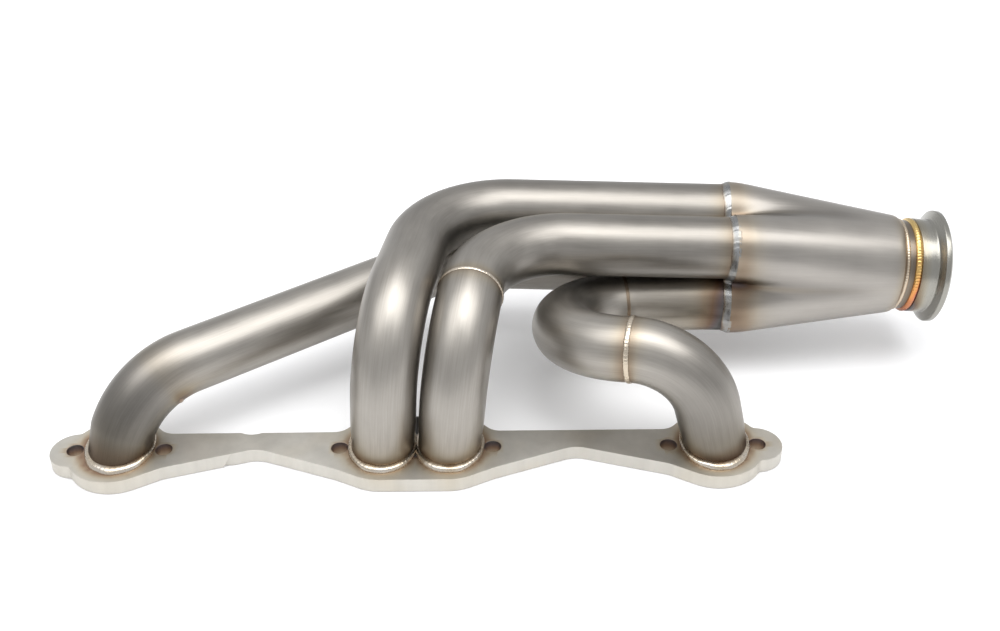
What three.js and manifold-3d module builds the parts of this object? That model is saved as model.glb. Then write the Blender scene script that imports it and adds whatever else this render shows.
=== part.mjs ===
// Four-into-one turbo exhaust manifold for one bank of a small V8, in stainless steel.
// Millimetres. The origin is the centre of the head flange's mounting face, midway between the
// centre ports. +X runs along the cylinder head towards the outlet, +Z points away from the head,
// and +Y is the side that the collector lies on.
import * as THREE from 'three';
import { ParametricGeometry } from 'three/addons/geometries/ParametricGeometry.js';
import { mergeVertices } from 'three/addons/utils/BufferGeometryUtils.js';
import Module from 'manifold-3d';

// Tube: 1 5/8 inch primaries in 16 gauge.
const TUBE_OD = 41.3;
const TUBE_WALL = 1.65;
const FIT_GAP = 0.3;
const TUBE_SIDES = 16;
const BEND_STEP = THREE.MathUtils.degToRad(10);
const STATION_MARGIN = 1.5;

// Facets round the turned and ringed pieces.
const JOINT_WELD_SIDES = 24;
const FOOT_WELD_SIDES = 30;
const OUTLET_SIDES = 32;
const COLLECTOR_SIDES = 48;
const COLLECTOR_WELD_SIDES = 72;
const HOLE_SEGMENTS = 10;
const PORT_SEGMENTS = 14;
const CUTTER_SIDES = 64;

// Head flange: 3/8 inch plate. Ports and bolts are mirrored about x = 0.
const FLANGE_THICKNESS = 9.5;
const PORT_X = [21.2, 190.4];
const BOLT_X = [48.7, 160.8, 217.2];
const BOLT_Y = -1.5;
const BOLT_HOLE_DIAMETER = 10.5;
const PORT_LOBE_RADIUS = 31;
const BOLT_LOBE_RADIUS = 16;
const NECK_RADIUS = 4;
const WAIST_X = 102;
const WAIST_FRONT_Y = -3;
const WAIST_BACK_Y = 14.3;
const WAIST_CURVE_RADIUS = 20;
const SHOULDER_RADIUS = 12;
// Front shoulders: how far each hollow's centre lies from its port, and at what level.
const INNER_SHOULDER = { out: 34, y: -32.5 };
const OUTER_SHOULDER = { out: 36, y: -30.5 };
// Clearance cuts at the left waist: a flat with a slanted end on the front edge, and a shallow
// scallop in the back edge.
const FRONT_FLAT = { from: -123, to: -90, slant: 6, y: -6.4 };
const BACK_SCALLOP = { x: -107, radius: 14, depth: 1.9 };

// A tube's foot is pressed slightly oval, narrow along the flange, and rounds out above it.
const FOOT_HALF_X = 19.7;
const FOOT_HALF_Y = 21.6;
const FOOT_HEIGHT = 25;
const START_DEPTH = 18;
const FOOT_WELD_LEG = { along: 2.3, across: 4.4 };
const FOOT_WELD_HEIGHT = 3.6;
const FOOT_WELD_CLEARANCE = 0.45;
const FOOT_WELD_OVERLAP = 2;
// Section of a foot weld: how far out of its leg and up its height each point lies.
const FOOT_WELD_SECTION = [[1, 0], [0.7, 0.5], [0.3, 1]];

// The four tubes end side by side in the collector: centre of its inlet edge, and its attitude.
const MERGE = { at: [210.5, 124.2, 71], yaw: -1.5, pitch: -1.3, roll: 1.6 };
const BUNDLE_GAP = 1.4;
const TUBE_INSERTION = 5;
const BUNDLE_OFFSET = (TUBE_OD + BUNDLE_GAP) / 2;

// The outlet: centre of the V-band sealing face, and its attitude.
const OUTLET = { at: [353.2, 119.5, 64.8], yaw: -0.5, pitch: -4.2, roll: 0 };

// Collector body: formed from four lobes to one round neck.
const COLLECTOR_WALL = 1.4;
const COLLECTOR_SOCKET_CLEARANCE = 0.6;
const TAPER_EASE = 0.12;
const NECK_SEAT = 0.8;
const COLLECTOR_END_RADIUS = 33;
const LOBE_BRIDGE_ANGLE = THREE.MathUtils.degToRad(41.5);
const NECK_OUTER_RADIUS = 30.4;
const NECK_WALL = 1.65;
const NECK_LENGTH = 6;

// V-band flange on the outlet.
const VBAND = {
  length: 18.4,
  hubRadius: 32,
  rimRadius: 38.1,
  rimWidth: 3.2,
  faceRadius: 35.6,
  chamfer: 1.4,
  flare: 2.6,
  shoulder: 0.6,
  boreRadius: 28.8,
};
const VBAND_WELD = { width: 4.2, shoulder: 1, crown: 1.5, toe: 1.2, slope: 0.6 };
const NECK_WELD = { from: 0.2, crest: 1.2, to: 2, shoulder: 0.7, crown: 0.9 };
const COLLECTOR_WELD = { from: -4.6, inner: 0.35, outer: 3, valley: 26.6, rise: 5, toe: 0.9 };
const PLUG = { half: 13, thickness: 3 };

// Each runner is bent through a list of corners, each with a centreline radius. The last corner
// lies on the runner's own line into the collector, given by its distance before the inlet edge.
// joints: distances along the runner, from the flange, of its butt welds.
const RUNNERS = [
  {
    port: -190.4,
    corners: [[-192.3, 4.4, 50.8]],
    bends: [58, 56],
    slot: [1, -1],
    entry: 189,
    pieces: ['runner_1_elbow', 'runner_1_tail'],
    joints: [55],
  },
  {
    port: -21.2,
    corners: [[-15.1, -2.1, 104]],
    bends: [52, 63.5],
    slot: [1, 1],
    entry: 203.7,
    pieces: ['runner_2_tube'],
    joints: [],
  },
  {
    port: 21.2,
    corners: [[28.8, -3.8, 98.6]],
    bends: [52.4, 62.5],
    slot: [-1, 1],
    entry: 165.6,
    pieces: ['runner_3_elbow', 'runner_3_tail'],
    joints: [112],
  },
  {
    port: 190.4,
    corners: [[174.1, 2.6, 79], [88.5, 25.5, 69.3], [104.6, 110.3, 44]],
    bends: [46.6, 49.5, 49.5, 100],
    slot: [-1, -1],
    entry: 14,
    pieces: ['runner_4_elbow', 'runner_4_return_bend', 'runner_4_tail'],
    joints: [97, 236],
  },
];
const JOINT_WELD_WIDTH = 3.8;
const JOINT_WELD_HEIGHT = 0.6;
const JOINT_WELD_CLEARANCE = 0.35;

const STEEL = { color: 0xa9a39b, roughness: 0.32, metalness: 1 };
const PLATE_STEEL = { color: 0xb9b6b0, roughness: 0.5, metalness: 1 };
const WELD_STEEL = { color: 0xc3b49c, roughness: 0.35, metalness: 1 };
const GOLD_WELD_STEEL = { color: 0xc08a3e, roughness: 0.3, metalness: 1 };

const wasm = await Module();
wasm.setup();

// --- Solids ----------------------------------------------------------------------------------

function weldedGeometry(geometry) {
  const bare = geometry.clone();
  bare.deleteAttribute('normal');
  bare.deleteAttribute('uv');
  return mergeVertices(bare, 1e-4);
}

function toSolid(geometry) {
  const merged = weldedGeometry(geometry);
  const vertProperties = new Float32Array(merged.attributes.position.array);
  const triVerts = new Uint32Array(merged.index.array);
  return new wasm.Manifold(new wasm.Mesh({ numProp: 3, vertProperties, triVerts }));
}

function toGeometry(solid) {
  const mesh = solid.getMesh();
  const geometry = new THREE.BufferGeometry();
  geometry.setAttribute('position', new THREE.BufferAttribute(mesh.vertProperties, 3));
  geometry.setIndex(new THREE.BufferAttribute(mesh.triVerts, 1));
  geometry.computeVertexNormals();
  return geometry;
}

function boxSolid(low, high) {
  const size = new THREE.Vector3(...high).sub(new THREE.Vector3(...low));
  const geometry = new THREE.BoxGeometry(size.x, size.y, size.z);
  geometry.translate(low[0] + size.x / 2, low[1] + size.y / 2, low[2] + size.z / 2);
  return toSolid(geometry);
}

// A ring swept round an axis: place(turn, profile) gives the point at a share of a full turn
// and a share of the closed profile.
function closedRing(place, turns, profileSteps) {
  const geometry = new ParametricGeometry(
    (u, v, target) => place(u % 1, v % 1, target), turns, profileSteps);
  return weldedGeometry(geometry);
}

// A solid of revolution about local X from a closed [x, radius] profile.
function turnedGeometry(profile, segments) {
  const points = profile.map(([x, radius]) => new THREE.Vector2(radius, x));
  points.push(points[0].clone());
  const geometry = new THREE.LatheGeometry(points, segments);
  geometry.rotateZ(-Math.PI / 2);
  return geometry;
}

function part(name, geometry, finish, parent) {
  const mesh = new THREE.Mesh(geometry, new THREE.MeshStandardMaterial(finish));
  mesh.name = name;
  parent.add(mesh);
  return mesh;
}

// --- Frames ----------------------------------------------------------------------------------

function frameGroup({ at, yaw, pitch, roll }, parent) {
  const group = new THREE.Group();
  const [turnX, turnY, turnZ] = [roll, -pitch, yaw].map(THREE.MathUtils.degToRad);
  group.position.set(...at);
  group.rotation.set(turnX, turnY, turnZ, 'ZYX');
  parent.add(group);
  group.updateMatrixWorld(true);
  return group;
}

const SEAT = FLANGE_THICKNESS + FIT_GAP;
const REACH = 400;

const manifold = new THREE.Group();
const merge = frameGroup(MERGE, manifold);
const outlet = frameGroup(OUTLET, manifold);

// --- Runners ---------------------------------------------------------------------------------

// A tube's centreline: straight legs joined by round bends, held as stations along its length.
class BentRun extends THREE.Curve {
  constructor(stations) {
    super();
    this.stations = stations;
  }

  static throughCorners(corners, radii) {
    const stations = [];
    let travelled = 0;
    const add = (point, tangent) => {
      const last = stations[stations.length - 1];
      travelled += last ? last.point.distanceTo(point) : 0;
      stations.push({ point: point.clone(), tangent: tangent.clone(), travelled });
    };
    let heading = corners[1].clone().sub(corners[0]).normalize();
    add(corners[0], heading);
    radii.forEach((radius, index) => {
      const corner = corners[index + 1];
      const next = corners[index + 2].clone().sub(corner).normalize();
      const turn = heading.angleTo(next);
      const setback = radius * Math.tan(turn / 2);
      const entry = corner.clone().addScaledVector(heading, -setback);
      const inward = next.clone().addScaledVector(heading, -next.dot(heading)).normalize();
      const centre = entry.clone().addScaledVector(inward, radius);
      const steps = Math.max(2, Math.ceil(turn / BEND_STEP));
      for (let step = 0; step <= steps; step += 1) {
        const angle = (turn * step) / steps;
        const point = centre.clone()
          .addScaledVector(inward, -radius * Math.cos(angle))
          .addScaledVector(heading, radius * Math.sin(angle));
        const tangent = heading.clone().multiplyScalar(Math.cos(angle))
          .addScaledVector(inward, Math.sin(angle));
        add(point, tangent);
      }
      heading = next;
    });
    add(corners[corners.length - 1], heading);
    return new BentRun(stations);
  }

  get total() {
    return this.stations[this.stations.length - 1].travelled;
  }

  stationAt(distance) {
    const after = this.stations.findIndex((station) => station.travelled >= distance);
    const high = this.stations[Math.max(after, 1)];
    const low = this.stations[Math.max(after, 1) - 1];
    const share = (distance - low.travelled) / (high.travelled - low.travelled);
    return {
      point: low.point.clone().lerp(high.point, share),
      tangent: low.tangent.clone().lerp(high.tangent, share).normalize(),
      travelled: distance,
    };
  }

  between(from, to) {
    const inside = this.stations.filter(
      ({ travelled }) => travelled > from + STATION_MARGIN && travelled < to - STATION_MARGIN);
    return new BentRun([this.stationAt(from), ...inside, this.stationAt(to)]);
  }

  at(share) {
    return this.stations[Math.round(share * (this.stations.length - 1))];
  }

  getPoint(share) {
    return this.at(share).point.clone();
  }

  getTangent(share) {
    return this.at(share).tangent.clone();
  }

  getUtoTmapping(share) {
    return share;
  }
}

const merged = (axial, [side, level]) => merge.localToWorld(
  new THREE.Vector3(axial, side * BUNDLE_OFFSET, level * BUNDLE_OFFSET));

// The run starts below the flange face, so that the foot can be cut flat on it.
function runFor({ port, corners, bends, slot, entry }) {
  const foot = new THREE.Vector3(port, 0, FLANGE_THICKNESS);
  const [first, ...others] = corners.map((corner) => new THREE.Vector3(...corner));
  const start = foot.clone().addScaledVector(first.clone().sub(foot).normalize(), -START_DEPTH);
  return BentRun.throughCorners(
    [start, first, ...others, merged(-entry, slot), merged(TUBE_INSERTION, slot)], bends);
}

function sweep(run, outerRadius, innerRadius) {
  const shape = new THREE.Shape();
  shape.absarc(0, 0, outerRadius, 0, 2 * Math.PI);
  if (innerRadius > 0) {
    const bore = new THREE.Path();
    bore.absarc(0, 0, innerRadius, 0, 2 * Math.PI);
    shape.holes.push(bore);
  }
  return new THREE.ExtrudeGeometry(shape, {
    steps: run.stations.length - 1,
    curveSegments: TUBE_SIDES / 2,
    extrudePath: run,
  });
}

// Presses the foot of a tube oval about its port, fading to round at FOOT_HEIGHT.
function pressFoot(geometry, port) {
  const position = geometry.attributes.position;
  for (let index = 0; index < position.count; index += 1) {
    const rise = (position.getZ(index) - FLANGE_THICKNESS) / FOOT_HEIGHT;
    const round = THREE.MathUtils.smoothstep(rise, 0, 1);
    const scaleX = THREE.MathUtils.lerp((2 * FOOT_HALF_X) / TUBE_OD, 1, round);
    const scaleY = THREE.MathUtils.lerp((2 * FOOT_HALF_Y) / TUBE_OD, 1, round);
    position.setX(index, port + (position.getX(index) - port) * scaleX);
    position.setY(index, position.getY(index) * scaleY);
  }
  return geometry;
}

const belowSeat = boxSolid([-REACH, -REACH, -REACH], [REACH, REACH, SEAT]);

function addRunner(runner) {
  const run = runFor(runner);
  const cuts = [0, ...runner.joints.map((joint) => joint + START_DEPTH), run.total];
  runner.pieces.forEach((name, index) => {
    const from = cuts[index] + (index > 0 ? FIT_GAP / 2 : 0);
    const to = cuts[index + 1] - (index < runner.pieces.length - 1 ? FIT_GAP / 2 : 0);
    const piece = run.between(from, to);
    const tube = sweep(piece, TUBE_OD / 2, TUBE_OD / 2 - TUBE_WALL);
    const geometry = index > 0
      ? tube
      : toGeometry(toSolid(pressFoot(tube, runner.port)).subtract(belowSeat));
    part(name, geometry, STEEL, manifold);
  });
  return run;
}

// A crowned band round a butt joint.
function addJointWeld(name, run, distance) {
  const { point, tangent } = run.stationAt(distance + START_DEPTH);
  const inner = TUBE_OD / 2 + JOINT_WELD_CLEARANCE;
  const half = JOINT_WELD_WIDTH / 2;
  const crown = [[-half / 2, 1], [half / 2, 1]];
  const outside = crown.map(([x, share]) => [x, inner + share * JOINT_WELD_HEIGHT]);
  const profile = [[-half, inner], ...outside, [half, inner]];
  const band = part(name, turnedGeometry(profile, JOINT_WELD_SIDES), WELD_STEEL, manifold);
  band.position.copy(point);
  band.quaternion.setFromUnitVectors(new THREE.Vector3(1, 0, 0), tangent);
}

// A fillet round a tube's foot, cut to clear the tube and its neighbour's fillet.
function addFootWeld(name, runner, run) {
  const foot = run.stationAt(START_DEPTH).point;
  const centre = new THREE.Vector2(
    runner.port + (foot.x - runner.port) * ((2 * FOOT_HALF_X) / TUBE_OD), foot.y);
  const rows = [
    [-FOOT_WELD_OVERLAP, 0, 0],
    ...FOOT_WELD_SECTION.map(([leg, rise]) => [0, leg, rise]),
    [-FOOT_WELD_OVERLAP, 0, 1],
  ];
  const ring = closedRing((turn, share, target) => {
    const [offset, leg, rise] = rows[Math.round(share * rows.length) % rows.length];
    const angle = 2 * Math.PI * turn;
    const halfX = FOOT_HALF_X + offset + leg * FOOT_WELD_LEG.along;
    const halfY = FOOT_HALF_Y + offset + leg * FOOT_WELD_LEG.across;
    target.set(centre.x + halfX * Math.cos(angle), centre.y + halfY * Math.sin(angle),
      SEAT + rise * FOOT_WELD_HEIGHT);
  }, FOOT_WELD_SIDES, rows.length);
  const clearance = pressFoot(
    sweep(run.between(0, 2 * FOOT_HEIGHT), TUBE_OD / 2 + FOOT_WELD_CLEARANCE, 0), runner.port);
  const side = Math.sign(runner.port);
  const low = side > 0 ? FIT_GAP / 2 : -REACH;
  const ownSide = boxSolid([low, -REACH, 0], [low + REACH - FIT_GAP / 2, REACH, REACH]);
  const bead = toSolid(ring).subtract(toSolid(clearance)).intersect(ownSide);
  part(name, toGeometry(bead), WELD_STEEL, manifold);
}

// --- Head flange -----------------------------------------------------------------------------

// An outline wrapped like a belt round circles: turn is 1 where it wraps outside a lobe and -1
// where it hugs a hollow.
function beltShape(circles) {
  const shape = new THREE.Shape();
  const count = circles.length;
  const heading = (from, to) => {
    const dx = to.x - from.x;
    const dy = to.y - from.y;
    const span = Math.hypot(dx, dy);
    const offset = (from.turn * from.radius - to.turn * to.radius) / span;
    return Math.atan2(dy, dx) + Math.asin(THREE.MathUtils.clamp(offset, -1, 1));
  };
  circles.forEach((circle, index) => {
    const arriving = heading(circles[(index + count - 1) % count], circle);
    const leaving = heading(circle, circles[(index + 1) % count]);
    const quarter = (circle.turn * Math.PI) / 2;
    shape.absarc(circle.x, circle.y, circle.radius, arriving - quarter, leaving - quarter,
      circle.turn < 0);
  });
  return shape;
}

// A hollow of the given radius that touches two lobes from outside, to the left or right of the
// line from the first to the second.
function hollowBetween(first, second, radius, side) {
  const a = first.radius + radius;
  const b = second.radius + radius;
  const dx = second.x - first.x;
  const dy = second.y - first.y;
  const span = Math.hypot(dx, dy);
  const along = (a * a - b * b + span * span) / (2 * span);
  const across = side * Math.sqrt(a * a - along * along);
  return {
    x: first.x + (dx * along - dy * across) / span,
    y: first.y + (dy * along + dx * across) / span,
    radius,
    turn: -1,
  };
}

// A hollow that touches a lobe and the straight edge y = level, on the lobe's inner or outer side.
function hollowOnEdge(lobe, level, radius, side) {
  const reach = lobe.radius + radius;
  const rise = Math.abs(level - lobe.y) + radius;
  return {
    x: lobe.x + side * Math.sqrt(reach * reach - rise * rise),
    y: lobe.y + Math.sign(level) * rise,
    radius,
    turn: -1,
  };
}

const mirrored = (circle) => ({ ...circle, x: -circle.x });

function flangeShape() {
  const lobe = (x, radius) => ({ x, y: BOLT_Y, radius, turn: 1 });
  const shoulder = (x, y) => ({ x, y, radius: SHOULDER_RADIUS, turn: -1 });
  const inner = lobe(PORT_X[0], PORT_LOBE_RADIUS);
  const outer = lobe(PORT_X[1], PORT_LOBE_RADIUS);
  const end = lobe(BOLT_X[2], BOLT_LOBE_RADIUS);
  const waist = {
    x: WAIST_X, y: WAIST_FRONT_Y - WAIST_CURVE_RADIUS, radius: WAIST_CURVE_RADIUS, turn: -1,
  };
  const front = [
    inner,
    shoulder(inner.x + INNER_SHOULDER.out, INNER_SHOULDER.y),
    waist,
    shoulder(outer.x - OUTER_SHOULDER.out, OUTER_SHOULDER.y),
    outer,
    hollowBetween(outer, end, NECK_RADIUS, -1),
  ];
  const back = [
    end,
    hollowBetween(outer, end, NECK_RADIUS, 1),
    outer,
    hollowOnEdge(outer, WAIST_BACK_Y, SHOULDER_RADIUS, -1),
    hollowOnEdge(inner, WAIST_BACK_Y, SHOULDER_RADIUS, 1),
    inner,
  ];
  const rightHalf = [...front, ...back];
  const leftHalf = rightHalf.map(mirrored).reverse();
  return beltShape([...rightHalf, ...leftHalf]);
}

function addFlange(runs) {
  const shape = new THREE.Shape(flangeShape().getPoints(4));
  BOLT_X.flatMap((x) => [x, -x]).forEach((x) => {
    const hole = new THREE.Path();
    hole.absarc(x, BOLT_Y, BOLT_HOLE_DIAMETER / 2, 0, 2 * Math.PI);
    shape.holes.push(hole);
  });
  const plate = new THREE.ExtrudeGeometry(
    shape, { depth: FLANGE_THICKNESS, bevelEnabled: false, curveSegments: HOLE_SEGMENTS });
  let solid = toSolid(plate);
  RUNNERS.forEach((runner, index) => {
    solid = solid.subtract(portCutter(runner, runs[index]));
  });
  const finished = solid.subtract(frontFlatCutter()).subtract(backScallopCutter());
  part('head_flange', toGeometry(finished), PLATE_STEEL, manifold);
}

function frontFlatCutter() {
  const { from, to, slant, y } = FRONT_FLAT;
  const profile = new THREE.Shape();
  const rise = FLANGE_THICKNESS + 1;
  profile.moveTo(from, -1);
  profile.lineTo(to, -1);
  profile.lineTo(to, rise);
  profile.lineTo(from + slant, rise);
  profile.closePath();
  const cutter = new THREE.ExtrudeGeometry(profile, { depth: REACH, bevelEnabled: false });
  cutter.rotateX(Math.PI / 2);
  cutter.translate(0, y, 0);
  return toSolid(cutter);
}

function backScallopCutter() {
  const { x, radius, depth } = BACK_SCALLOP;
  const cutter = new THREE.CylinderGeometry(radius, radius, 4 * FLANGE_THICKNESS, CUTTER_SIDES);
  cutter.rotateX(Math.PI / 2);
  cutter.translate(x, WAIST_BACK_Y + radius - depth, 0);
  return toSolid(cutter);
}

// A straight port through the plate, as wide as the tube's bore.
function portCutter(runner, run) {
  const foot = run.stationAt(START_DEPTH).point;
  const bore = new THREE.Shape();
  bore.absellipse(foot.x, foot.y, FOOT_HALF_X - TUBE_WALL, FOOT_HALF_Y - TUBE_WALL,
    0, 2 * Math.PI);
  const cutter = new THREE.ExtrudeGeometry(
    bore, { depth: FLANGE_THICKNESS + 2, bevelEnabled: false, curveSegments: PORT_SEGMENTS });
  cutter.translate(0, 0, -1);
  return toSolid(cutter);
}

// --- Collector -------------------------------------------------------------------------------

const LOBE_DISTANCE = BUNDLE_OFFSET * Math.SQRT2;

// Distance from the axis to a section of four round lobes. The valleys between them are bridged.
function lobedRadius(angle, lobeDistance, lobeRadius, bridge) {
  const quarter = Math.PI / 2;
  const off = Math.abs((((angle % quarter) + quarter) % quarter) - quarter / 2);
  const reach = (swing) => {
    const across = lobeDistance * Math.sin(swing);
    const half = Math.sqrt(Math.max(0, lobeRadius * lobeRadius - across * across));
    return lobeDistance * Math.cos(swing) + half;
  };
  return Math.max(reach(Math.min(off, LOBE_BRIDGE_ANGLE)), bridge);
}

// Section of the body at a share of its length: centre distance and radius of the lobes. They
// start to close on the axis gently in the socket, and then evenly up to the neck.
function bodySection(share, wall) {
  const eased = (share * share) / (2 * TAPER_EASE);
  const taper = (share < TAPER_EASE ? eased : share - TAPER_EASE / 2) / (1 - TAPER_EASE / 2);
  const lobeDistance = LOBE_DISTANCE * (1 - taper);
  const socket = TUBE_OD / 2 + COLLECTOR_SOCKET_CLEARANCE + COLLECTOR_WALL;
  const ridge = THREE.MathUtils.lerp(LOBE_DISTANCE + socket, COLLECTOR_END_RADIUS, taper);
  return { lobeDistance, lobeRadius: ridge - lobeDistance - (COLLECTOR_WALL - wall) };
}

function addCollectorBody() {
  const neckStart = -(VBAND.length + VBAND_WELD.width + NECK_LENGTH);
  const shares = [0, 0.06, 0.12, 0.2, 0.3, 0.42, 0.54, 0.66, 0.78, 0.9, 0.98];
  const start = new THREE.Vector3(...MERGE.at);
  const end = outlet.localToWorld(new THREE.Vector3(neckStart - FIT_GAP, 0, 0));
  const skin = (wall) => shares.map((share) => ({ share, ...bodySection(share, wall) }));
  const mouth = (radius) => ({ share: 1, lobeDistance: 0, lobeRadius: radius });
  const rows = [
    ...skin(COLLECTOR_WALL),
    mouth(NECK_OUTER_RADIUS + NECK_SEAT),
    mouth(NECK_OUTER_RADIUS - COLLECTOR_WALL),
    ...skin(0).reverse(),
  ];
  const body = closedRing((turn, profile, target) => {
    const row = rows[Math.round(profile * rows.length) % rows.length];
    const angle = 2 * Math.PI * turn;
    const radius = lobedRadius(angle, row.lobeDistance, row.lobeRadius, 0);
    const attitude = merge.quaternion.clone().slerp(outlet.quaternion, row.share);
    target.set(0, radius * Math.cos(angle), radius * Math.sin(angle));
    target.applyQuaternion(attitude).add(start.clone().lerp(end, row.share));
  }, COLLECTOR_SIDES, rows.length);
  part('collector_body', body, STEEL, manifold);
}

// The bead that closes the collector's inlet edge round all four tubes.
function addCollectorWeld() {
  const { from, inner, outer, valley, rise, toe } = COLLECTOR_WELD;
  const rows = [
    [from, 0],
    [from + toe, 0.8],
    [(from - FIT_GAP) / 2, 1],
    [-FIT_GAP, 0.85],
    [-FIT_GAP, 0],
  ];
  const ring = closedRing((turn, profile, target) => {
    const [x, share] = rows[Math.round(profile * rows.length) % rows.length];
    const angle = 2 * Math.PI * turn;
    const lift = THREE.MathUtils.lerp(inner, outer, share);
    const bridge = valley + share * rise;
    const radius = lobedRadius(angle, LOBE_DISTANCE, TUBE_OD / 2 + lift, bridge);
    target.set(x, radius * Math.cos(angle), radius * Math.sin(angle));
  }, COLLECTOR_WELD_SIDES, rows.length);
  part('collector_weld', ring, WELD_STEEL, merge);
}

// A four-pointed star plate that closes the gap in the middle of the tube ends.
function addMergePlug() {
  const { half, thickness } = PLUG;
  let plug = boxSolid([TUBE_INSERTION - thickness, -half, -half], [TUBE_INSERTION, half, half]);
  [[1, 1], [1, -1], [-1, 1], [-1, -1]].forEach(([side, level]) => {
    const tube = new THREE.CylinderGeometry(
      TUBE_OD / 2 + FIT_GAP, TUBE_OD / 2 + FIT_GAP, 4 * thickness, COLLECTOR_SIDES);
    tube.rotateZ(Math.PI / 2);
    tube.translate(TUBE_INSERTION, side * BUNDLE_OFFSET, level * BUNDLE_OFFSET);
    plug = plug.subtract(toSolid(tube));
  });
  part('merge_plug', toGeometry(plug), STEEL, merge);
}

// --- Outlet ----------------------------------------------------------------------------------

function addOutlet() {
  const weldStart = -(VBAND.length + VBAND_WELD.width);
  const neckStart = weldStart - NECK_LENGTH;
  const inner = NECK_OUTER_RADIUS - NECK_WALL;
  const butt = -VBAND.length - VBAND_WELD.width / 2;
  part('outlet_neck', turnedGeometry([
    [neckStart, inner],
    [neckStart, NECK_OUTER_RADIUS],
    [butt - FIT_GAP / 2, NECK_OUTER_RADIUS],
    [butt - FIT_GAP / 2, inner],
  ], OUTLET_SIDES), STEEL, outlet);

  const seat = NECK_OUTER_RADIUS + FIT_GAP;
  part('outlet_neck_weld', turnedGeometry([
    [neckStart + NECK_WELD.from, seat],
    [neckStart + NECK_WELD.from, seat + NECK_WELD.shoulder],
    [neckStart + NECK_WELD.crest, seat + NECK_WELD.crown],
    [neckStart + NECK_WELD.to, seat],
  ], OUTLET_SIDES), WELD_STEEL, outlet);

  part('vband_weld', turnedGeometry([
    [weldStart, seat],
    [weldStart + VBAND_WELD.slope, seat + VBAND_WELD.shoulder],
    [butt, seat + VBAND_WELD.crown],
    [-VBAND.length - VBAND_WELD.slope, seat + VBAND_WELD.toe],
    [-VBAND.length - FIT_GAP, seat],
  ], OUTLET_SIDES), GOLD_WELD_STEEL, outlet);

  const rimBack = -VBAND.chamfer - VBAND.rimWidth;
  part('vband_flange', turnedGeometry([
    [butt + FIT_GAP / 2, VBAND.boreRadius],
    [butt + FIT_GAP / 2, NECK_OUTER_RADIUS],
    [-VBAND.length, NECK_OUTER_RADIUS],
    [-VBAND.length, VBAND.hubRadius - VBAND.shoulder],
    [-VBAND.length + VBAND.shoulder, VBAND.hubRadius],
    [rimBack - VBAND.flare, VBAND.hubRadius],
    [rimBack, VBAND.rimRadius],
    [-VBAND.chamfer, VBAND.rimRadius],
    [0, VBAND.faceRadius],
    [0, VBAND.boreRadius],
  ], OUTLET_SIDES), PLATE_STEEL, outlet);
}

// --- Assembly --------------------------------------------------------------------------------

const runs = RUNNERS.map(addRunner);
RUNNERS.forEach((runner, index) => {
  addFootWeld(`port_weld_${index + 1}`, runner, runs[index]);
});
addJointWeld('runner_1_joint_weld', runs[0], RUNNERS[0].joints[0]);
addJointWeld('runner_3_joint_weld', runs[2], RUNNERS[2].joints[0]);
addJointWeld('runner_4_front_weld', runs[3], RUNNERS[3].joints[0]);
addJointWeld('runner_4_rear_weld', runs[3], RUNNERS[3].joints[1]);
addFlange(runs);
addCollectorBody();
addCollectorWeld();
addMergePlug();
addOutlet();

export default manifold;
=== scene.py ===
import math
import bmesh
import bpy
from mathutils import Euler, Matrix, Vector, noise


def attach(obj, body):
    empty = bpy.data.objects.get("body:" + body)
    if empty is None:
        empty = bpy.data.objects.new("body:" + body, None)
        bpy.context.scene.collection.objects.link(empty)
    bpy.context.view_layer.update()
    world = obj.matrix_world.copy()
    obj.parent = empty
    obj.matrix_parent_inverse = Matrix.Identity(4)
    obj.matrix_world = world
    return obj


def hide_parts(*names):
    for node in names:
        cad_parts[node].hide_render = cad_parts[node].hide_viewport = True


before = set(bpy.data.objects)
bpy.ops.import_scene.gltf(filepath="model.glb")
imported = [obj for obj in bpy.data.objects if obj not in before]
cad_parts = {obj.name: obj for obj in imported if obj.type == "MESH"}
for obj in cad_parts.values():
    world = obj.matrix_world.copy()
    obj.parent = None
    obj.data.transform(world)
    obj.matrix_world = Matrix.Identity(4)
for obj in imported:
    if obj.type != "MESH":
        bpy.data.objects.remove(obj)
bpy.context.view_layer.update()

MM = 0.001

# ---------------------------------------------------------------- the part's driving dimensions
# In millimetres and degrees: X along the flange, Y away from the camera, Z up.
TUBE_R = 20.65
TUBE_WALL = 1.65
TUBE_SIDES = 72
PLATE = 9.5
PORT_X = (21.2, 190.4)
BOLT_X = (48.7, 160.8, 217.2)
BOLT_Y = -1.5
BOLT_R = 5.25
FOOT_HALF = (19.7, 21.6)
FOOT_MEAN_R = 20.6
FOOT_HEIGHT = 25.0
START_DEPTH = 18.0
MERGE = {"at": (210.5, 124.2, 71.0), "yaw": -1.5, "pitch": -1.3, "roll": 1.6}
OUTLET = {"at": (353.2, 119.5, 64.8), "yaw": -0.5, "pitch": -4.2, "roll": 0.0}
BUNDLE = 21.35
INSERTION = 5.0
RUNNERS = {
    1: {"port": -190.4, "corners": [(-192.3, 4.4, 50.8)], "bends": [58, 56],
        "slot": (1, -1), "entry": 189.0, "joints": [55]},
    2: {"port": -21.2, "corners": [(-15.1, -2.1, 104)], "bends": [52, 63.5],
        "slot": (1, 1), "entry": 203.7, "joints": []},
    3: {"port": 21.2, "corners": [(28.8, -3.8, 98.6)], "bends": [52.4, 62.5],
        "slot": (-1, 1), "entry": 165.6, "joints": [112]},
    4: {"port": 190.4,
        "corners": [(174.1, 2.6, 79), (88.5, 25.5, 69.3), (104.6, 110.3, 44)],
        "bends": [46.6, 49.5, 49.5, 100],
        "slot": (-1, -1), "entry": 14.0, "joints": [97, 236]},
}
PIECES = {1: ["runner_1_elbow", "runner_1_tail"], 2: ["runner_2_tube"],
          3: ["runner_3_elbow", "runner_3_tail"],
          4: ["runner_4_elbow", "runner_4_return_bend", "runner_4_tail"]}


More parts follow.
